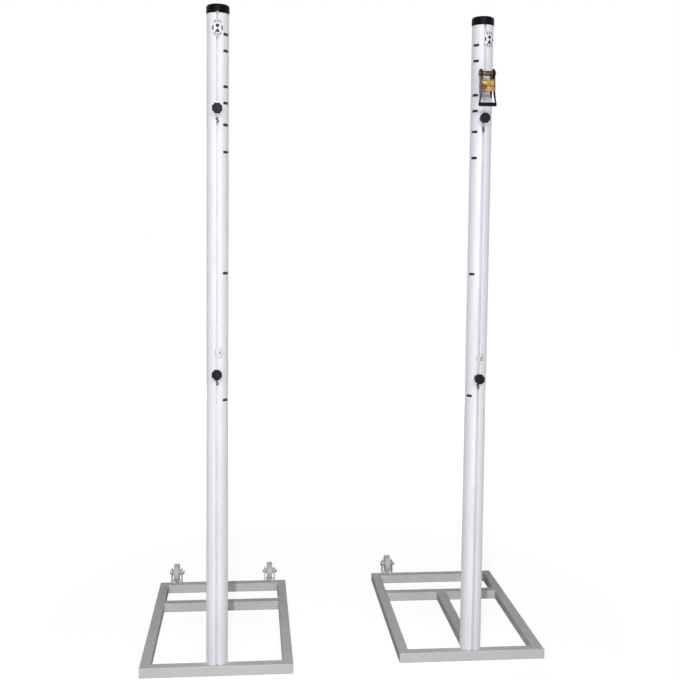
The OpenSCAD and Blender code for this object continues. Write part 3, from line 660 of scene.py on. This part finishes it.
def star_knob(side, level):
    """A moulded star knob: neck, flared back, rounded lobes, a dished face with a round insert."""
    node = f"{side}_{level}_knob"
    low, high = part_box(node)
    knob_r = (high.z - low.z) / 2 * STAR_OVER_BOX
    deep = high.y - low.y
    shoulder = knob_r - KNOB_EDGE
    profile = [(0, BORE_END), (BORE_R, BORE_END), (BORE_R, 0), (NECK_R - NECK_FOOT, 0), (NECK_R, NECK_FOOT)]
    profile += [(NECK_R, NECK_END - FLARE[1]), (NECK_R + FLARE[0], NECK_END)]
    profile += arc(shoulder, NECK_END + KNOB_EDGE, KNOB_EDGE, -90, 0, 6)
    profile += arc(shoulder, deep - KNOB_EDGE, KNOB_EDGE, 0, 90, 6)
    profile += [(share * knob_r, deep - depth) for share, depth in KNOB_FACE]
    start = knob_r * STAR_START
    centre_x, centre_z = (low.x + high.x) / 2, (low.z + high.z) / 2

    def at(radius, angle, along):
        if radius > start:
            share = (radius - start) / (knob_r - start)
            radius = start + share * (star_reach(angle, knob_r) - start)
        angle += math.pi / LOBES
        return (centre_x + radius * math.cos(angle), high.y - along, centre_z + radius * math.sin(angle))

    verts, faces = lathe(profile, KNOB_SEGMENTS, at)
    knob = piece(f"{side}_{level}_star_knob", verts, faces, "knob_plastic", node, 30)
    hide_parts(node)


# ---- the handle's grip ----------------------------------------------------------------------------------

GRIP_SEGMENTS = 48
GRIP_BORE = 4.5 * MM
GRIP_ROUND = 1.5 * MM
RIBS = 16
# plain length at each end
RIB_MARGIN = 5 * MM
GROOVE = 0.55 * MM
# one groove, along the grip: share of the pitch, depth
GROOVE_SHAPE = ((0.22, 0), (0.34, GROOVE), (0.66, GROOVE), (0.78, 0))


def ribbed_grip():
    """The rubber grip on the handle's bar: rounded ends and a row of shallow ribs."""
    low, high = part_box("ratchet_grip")
    centre, half, radius = (low + high) / 2, (high.x - low.x) / 2, (high.z - low.z) / 2
    rounding = arc(-half + GRIP_ROUND, radius - GRIP_ROUND, GRIP_ROUND, 180, 90, 4)[1:]
    near_end = [(GRIP_BORE, -half), (radius - GRIP_ROUND, -half)] + [(r, x) for x, r in rounding]
    far_end = [(r, -x) for r, x in reversed(near_end)]
    rib_zone = half - RIB_MARGIN
    pitch = 2 * rib_zone / RIBS
    ribs = []
    for i in range(RIBS):
        x = -rib_zone + pitch * i
        ribs += [(radius - depth, x + share * pitch) for share, depth in GROOVE_SHAPE]

    def at(r, angle, along):
        return (centre.x + along, centre.y + r * math.cos(angle), centre.z + r * math.sin(angle))

    verts, faces = lathe(near_end + ribs + far_end, GRIP_SEGMENTS, at)
    grip = piece("ratchet_ribbed_grip", verts, faces, "grip_rubber", "ratchet_handle", 30)
    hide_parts("ratchet_grip")


# ---- welds ----------------------------------------------------------------------------------------------

# from one ripple of a bead to the next
BEAD_PITCH = 2.6 * MM
BEAD_SIDES = 8
RINGS_PER_PITCH = 4
# how much thinner a bead is between its ripples
RIPPLE = 0.14
# a bead's thickness at its very ends, and how fast it grows from there
END_SHARE = 0.25
END_GROWTH = 3.2
FILLET_R = 2.6 * MM
SEAM_R = 2.2 * MM
BRACKET_BEAD_R = 2.4 * MM
# a seam's height as a share of its width
SEAM_FLAT = 0.35
# how far beads stop short of a tube's edges
SHORT = 2 * MM
SHORT_END = 3 * MM
SHORT_CORNER = 4 * MM
# a wheel bracket's outer face, from the wheel's middle
BRACKET_HALF = 25.5 * MM


def bead(start, end, radius, across, out):
    """A rippled weld bead from start to end: across and out span its section."""
    start, end, across, out = Vector(start), Vector(end), Vector(across), Vector(out)
    length = (end - start).length
    rings = max(int(length / BEAD_PITCH * RINGS_PER_PITCH), 8)
    verts, faces = [], []
    for i in range(rings + 1):
        share = i / rings
        taper = min(1.0, END_SHARE + END_GROWTH * math.sqrt(min(share, 1 - share)))
        ripple = 1 - RIPPLE + RIPPLE * abs(math.sin(math.pi * share * length / BEAD_PITCH))
        middle = start.lerp(end, share)
        for k in range(BEAD_SIDES):
            turn = math.tau * k / BEAD_SIDES
            verts.append(middle + (across * math.cos(turn) + out * math.sin(turn)) * radius * taper * ripple)
    for i in range(rings):
        for k in range(BEAD_SIDES):
            a, b = i * BEAD_SIDES + k, i * BEAD_SIDES + (k + 1) % BEAD_SIDES
            faces.append((a, b, b + BEAD_SIDES, a + BEAD_SIDES))
    faces.append(tuple(range(BEAD_SIDES)))
    faces.append(tuple(range(rings * BEAD_SIDES, (rings + 1) * BEAD_SIDES)))
    return verts, faces


def stand_welds(side):
    """The beads of one stand: mitres, cross and centre tubes, wheel brackets."""
    frame_low, frame_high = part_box(f"{side}_front_tube")[0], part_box(f"{side}_rear_tube")[1]
    tube = frame_high.z
    cross_low, cross_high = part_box(f"{side}_cross_tube")
    centre_low, centre_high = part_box(f"{side}_centre_tube")
    beads = []

    def fillet(x, y):
        """An upright bead in an inner corner."""
        beads.append(bead((x, y, SHORT), (x, y, tube - SHORT), FILLET_R, (1, 0, 0), (0, 1, 0)))

    def seam(start, end):
        """A flat bead on top of the tubes."""
        start, end = Vector((*start, tube)), Vector((*end, tube))
        sideways = (end - start).normalized().cross(Vector((0, 0, 1)))
        beads.append(bead(start, end, SEAM_R, sideways, (0, 0, SEAM_FLAT)))

    for x, way_x in ((frame_low.x, 1), (frame_high.x, -1)):
        inner_x = x + way_x * tube
        for y, way_y in ((frame_low.y, 1), (frame_high.y, -1)):
            inner_y = y + way_y * tube
            fillet(inner_x, inner_y)
            seam((x + way_x * SHORT_CORNER, y + way_y * SHORT_CORNER),
                 (inner_x - way_x * SHORT, inner_y - way_y * SHORT))
        for y in (cross_low.y, cross_high.y):
            fillet(inner_x, y)
        seam((inner_x, cross_low.y + SHORT_END), (inner_x, cross_high.y - SHORT_END))
    for x in (centre_low.x, centre_high.x):
        for y in (centre_low.y, centre_high.y):
            fillet(x, y)
    for y in (centre_low.y, centre_high.y):
        seam((centre_low.x + SHORT_END, y), (centre_high.x - SHORT_END, y))
    for wheel in ("outer", "inner"):
        low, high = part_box(f"{side}_{wheel}_wheel_core")
        for way in (-1, 1):
            x = (low.x + high.x) / 2 + way * BRACKET_HALF
            start, end = (x, frame_high.y - tube + SHORT_END, tube), (x, frame_high.y - SHORT_END, tube)
            beads.append(bead(start, end, BRACKET_BEAD_R, (1, 0, 0), (0, 0, 1)))
    verts, faces = [], []
    for more_verts, more_faces in beads:
        faces += [tuple(i + len(verts) for i in face) for face in more_faces]
        verts += more_verts
    piece(f"{side}_welds", verts, faces, "frame_paint", f"{side}_stand", 60)


for side in SIDES:
    height_marks(side)
    emblem(side)
    post_cap(side, side == "left")
    for level in ("upper", "lower"):
        star_knob(side, level)
    stand_welds(side)
    numbered_label(side)
ribbed_grip()


# ---- floor, light, camera -------------------------------------------------------------------------------

FLOOR_HALF = 9.0
FLOOR_GREY = 0.25
# just under the frames' feet
FLOOR_DROP = 0.0002
# the floor's own glow, as seen: its level at the object, and between which distances it turns white
GLOW_NEAR = 0.88
GLOW_FADE = (1.2, 2.6)
# light that the world gives to all other rays
WORLD_FILL = 0.06
CAMERA_AT = Vector((-0.3814, -4.0699, 1.7124))


def seen_ray(tree):
    """1 for a ray that should see the plain background: camera, glossy and transmission rays."""
    path = add_node(tree, "ShaderNodeLightPath")
    total = path.outputs["Is Camera Ray"]
    for name in ("Is Glossy Ray", "Is Transmission Ray"):
        values = {0: total, 1: path.outputs[name]}
        total = add_node(tree, "ShaderNodeMath", values, operation="MAXIMUM").outputs[0]
    return total


def make_floor():
    """A pale floor that keeps the object's shadow and turns white away from it."""
    mesh = bpy.data.meshes.new("floor")
    h = FLOOR_HALF
    mesh.from_pydata([(-h, -h, 0), (h, -h, 0), (h, h, 0), (-h, h, 0)], [], [(0, 1, 2, 3)])
    floor = bpy.data.objects.new("floor", mesh)
    floor.location.z = -FLOOR_DROP
    bpy.context.scene.collection.objects.link(floor)
    mat = bpy.data.materials.new("floor")
    mat.use_nodes = True
    tree = mat.node_tree
    tree.nodes.clear()
    spot = add_node(tree, "ShaderNodeTexCoord").outputs["Object"]
    reach = add_node(tree, "ShaderNodeVectorMath", {0: spot}, operation="LENGTH").outputs["Value"]
    fade = add_node(tree, "ShaderNodeMapRange", {"Value": reach, "From Min": GLOW_FADE[0],
                                                 "From Max": GLOW_FADE[1], "To Min": GLOW_NEAR})
    values = {0: fade.outputs["Result"], 1: seen_ray(tree)}
    strength = add_node(tree, "ShaderNodeMath", values, operation="MULTIPLY").outputs[0]
    glow = add_node(tree, "ShaderNodeEmission", {"Strength": strength}).outputs[0]
    grey = (FLOOR_GREY, FLOOR_GREY, FLOOR_GREY, 1)
    diffuse = add_node(tree, "ShaderNodeBsdfDiffuse", {"Color": grey}).outputs[0]
    both = add_node(tree, "ShaderNodeAddShader", {0: diffuse, 1: glow}).outputs[0]
    add_node(tree, "ShaderNodeOutputMaterial", {"Surface": both})
    mesh.materials.append(mat)


def make_world():
    """White to the rays that see it, a dim fill to the rest."""
    world = bpy.data.worlds.new("studio")
    bpy.context.scene.world = world
    world.use_nodes = True
    tree = world.node_tree
    background = tree.nodes["Background"]
    background.inputs["Color"].default_value = (1, 1, 1, 1)
    level = add_node(tree, "ShaderNodeMapRange", {"Value": seen_ray(tree), "To Min": WORLD_FILL})
    tree.links.new(level.outputs["Result"], background.inputs["Strength"])


def area_light(name, place, target, size, level):
    """A lamp, size = (width, height), that lights a white card at the target, square to it, to that level."""
    data = bpy.data.lights.new(name, "AREA")
    data.shape = "RECTANGLE"
    data.size, data.size_y = size
    lamp = bpy.data.objects.new(name, data)
    bpy.context.scene.collection.objects.link(lamp)
    lamp.location = place
    away = Vector(target) - Vector(place)
    lamp.rotation_mode = "QUATERNION"
    lamp.rotation_quaternion = away.to_track_quat("-Z", "Y")
    data.energy = level * math.pi ** 2 * away.length_squared


def make_camera():
    """A pinhole at the photograph's place: turned right, tilted down a little and rolled slightly."""
    yaw, pitch, roll = math.radians(-5.34), math.radians(4.13), math.radians(0.61)
    focal_px, centre_y, frame_px = 954.9, 300.0, 680.0
    right = Vector((math.cos(yaw), math.sin(yaw), 0))
    ahead = Vector((-math.sin(yaw) * math.cos(pitch), math.cos(yaw) * math.cos(pitch), -math.sin(pitch)))
    up = right.cross(ahead)
    rolled = right * math.cos(roll) + up * math.sin(roll)
    upright = up * math.cos(roll) - right * math.sin(roll)
    data = bpy.data.cameras.new("camera")
    data.sensor_width = 36.0
    data.lens = focal_px / frame_px * data.sensor_width
    data.shift_y = (centre_y - frame_px / 2) / frame_px
    data.clip_end = 60.0
    camera = bpy.data.objects.new("camera", data)
    bpy.context.scene.collection.objects.link(camera)
    basis = Matrix((rolled, upright, -ahead)).transposed()
    camera.matrix_world = Matrix.Translation(CAMERA_AT) @ basis.to_4x4()
    bpy.context.scene.camera = camera


make_floor()
make_world()
# a small flash beside the camera gives the crisp shadows, two softboxes light the front and the back
area_light("flash", CAMERA_AT + Vector((-0.17, 0.05, 0.12)), (0, 0.3, 0), (0.05, 0.05), 0.28)
area_light("front", (-0.6, -12.4, 6.8), (0, 0, 1.2), (10.0, 2.4), 0.46)
area_light("back", (0.4, 6.6, 1.2), (0, 0, 1.1), (6.0, 1.4), 0.6)
make_camera()
bpy.context.scene.view_settings.view_transform = "Standard"
